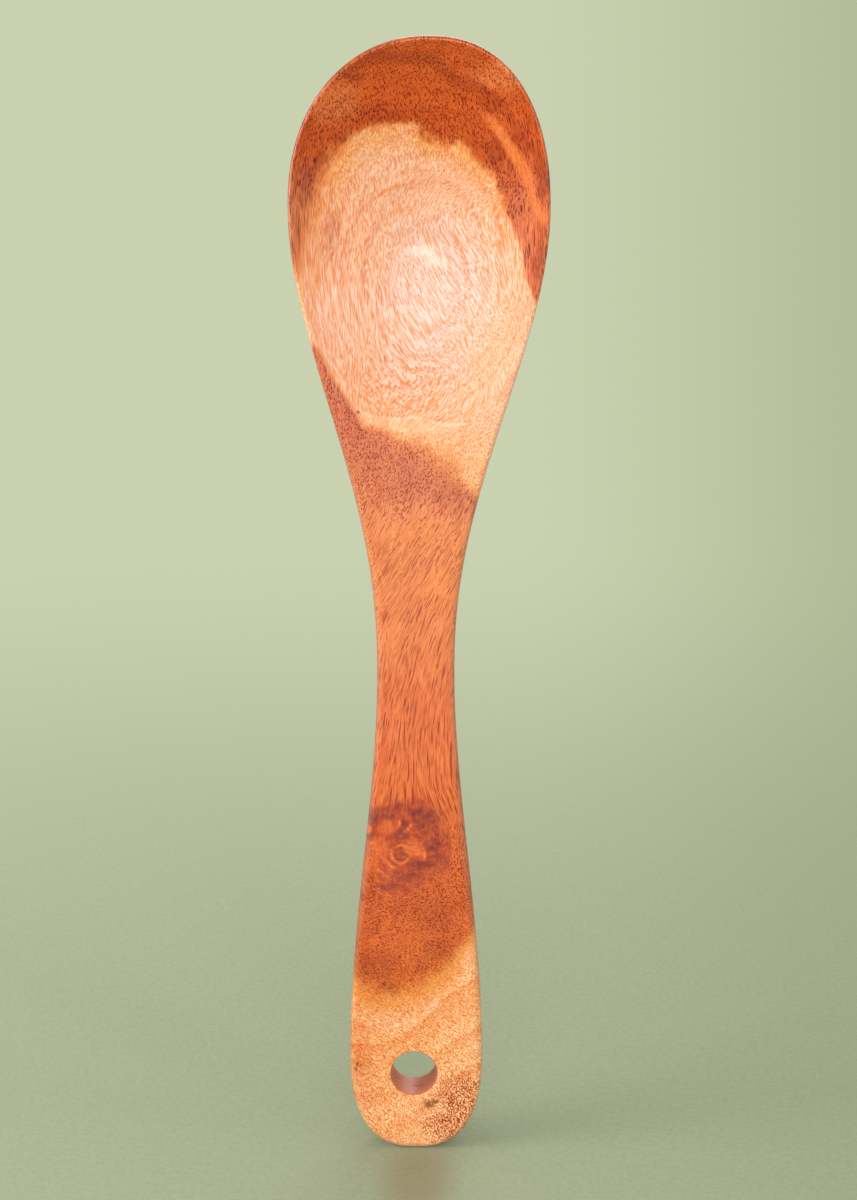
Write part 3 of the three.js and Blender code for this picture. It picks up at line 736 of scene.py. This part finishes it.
# Painted contact shadow: the paper darkens round the foot.
painted_contact_shadow = vector_calc("LENGTH", vector_calc("MULTIPLY", ground, (30.0, 40.0, 0.0)))
sheet_colour = blend(fade(painted_contact_shadow, 1.0, 0.3, 0.0, 0.25), sheet_colour, tint(0.72, 0.72, 0.70), "MULTIPLY")
feed(sheet_of_paper.inputs["Base Color"], sheet_colour)
emboss = nodes.new("ShaderNodeBump")
emboss.inputs["Strength"].default_value = 0.4
emboss.inputs["Distance"].default_value = 0.0003
feed(emboss.inputs["Height"], pulp)
feed(sheet_of_paper.inputs["Normal"], emboss.outputs["Normal"])
sheet_of_paper.inputs["Roughness"].default_value = 0.8
sheet_of_paper.inputs["Specular IOR Level"].default_value = 0.0
spread = nodes.new("ShaderNodeMixShader")
away = vector_calc("LENGTH", vector_calc("MULTIPLY", ground, (1.0, 1.0, 0.0)))
feed(spread.inputs["Fac"], fade(away, -0.15, 0.75))
feed(spread.inputs[1], sheet_of_paper.outputs[0])
feed(spread.inputs[2], nodes.new("ShaderNodeBsdfTransparent").outputs[0])
feed(nodes["Material Output"].inputs["Surface"], spread.outputs[0])
floor_mesh.materials.append(paper)

world = bpy.data.worlds.new("studio")
bpy.context.scene.world = world
world.use_nodes = True
nodes, links = world.node_tree.nodes, world.node_tree.links
nodes["Background"].inputs["Color"].default_value = (1.0, 1.0, 0.97, 1.0)
nodes["Background"].inputs["Strength"].default_value = 0.42
backdrop = nodes.new("ShaderNodeBackground")
facing = nodes.new("ShaderNodeSeparateXYZ")
feed(facing.inputs[0], nodes.new("ShaderNodeTexCoord").outputs["Generated"])
# Painted shade: the backdrop turns darker towards +X.
feed(backdrop.inputs["Color"], blend(fade(facing.outputs[0], 0.02, 0.19), tint(*BACKDROP), tint(*SHADED)))
seen = nodes.new("ShaderNodeLightPath")
shown = calc("MAXIMUM", seen.outputs["Is Camera Ray"], seen.outputs["Is Glossy Ray"])
shown = calc("MAXIMUM", shown, seen.outputs["Is Transmission Ray"])
studio = nodes.new("ShaderNodeMixShader")
feed(studio.inputs["Fac"], shown)
feed(studio.inputs[1], nodes["Background"].outputs[0])
feed(studio.inputs[2], backdrop.outputs[0])
feed(nodes["World Output"].inputs["Surface"], studio.outputs[0])


def add_softbox(name, energy, width, tall, location, aim):
    data = bpy.data.lights.new(name, "AREA")
    data.shape, data.size, data.size_y, data.energy = "RECTANGLE", width, tall, energy
    softbox = bpy.data.objects.new(name, data)
    softbox.location = location
    softbox.rotation_euler = (Vector(aim) - Vector(location)).to_track_quat("-Z", "Y").to_euler()
    bpy.context.scene.collection.objects.link(softbox)


add_softbox("front softbox", 10.7, 0.9, 0.9, (0.05, -1.35, 0.34), (0, 0, 0.06))
add_softbox("left softbox", 7.9, 0.8, 0.9, (-1.1, -0.35, 0.35), (0, 0, 0.02))
add_softbox("right softbox", 2.5, 0.3, 0.9, (0.95, -0.95, 0.3), (0, 0, 0.02))
add_softbox("back softbox", 7.0, 0.9, 0.9, (0.3, 1.2, 0.7), (0, 0, 0.02))
add_softbox("left strip light", 0.45, 0.12, 0.28, (-0.5, -0.14, 0.1), (0, 0, 0.03))
add_softbox("right strip light", 0.25, 0.12, 0.28, (0.5, -0.14, 0.1), (0, 0, 0.03))

CAMERA_PLACE, CAMERA_TILT = (0.00335, -0.7197, 0.2046), 14.54
lens = bpy.data.cameras.new("camera")
lens.lens, lens.sensor_width, lens.sensor_fit = 85.0, 36.0, "AUTO"
camera = bpy.data.objects.new("camera", lens)
camera.location = CAMERA_PLACE
camera.rotation_euler = (math.radians(90 - CAMERA_TILT), 0, 0)
bpy.context.scene.collection.objects.link(camera)
bpy.context.scene.camera = camera
bpy.context.scene.view_settings.view_transform = "Standard"
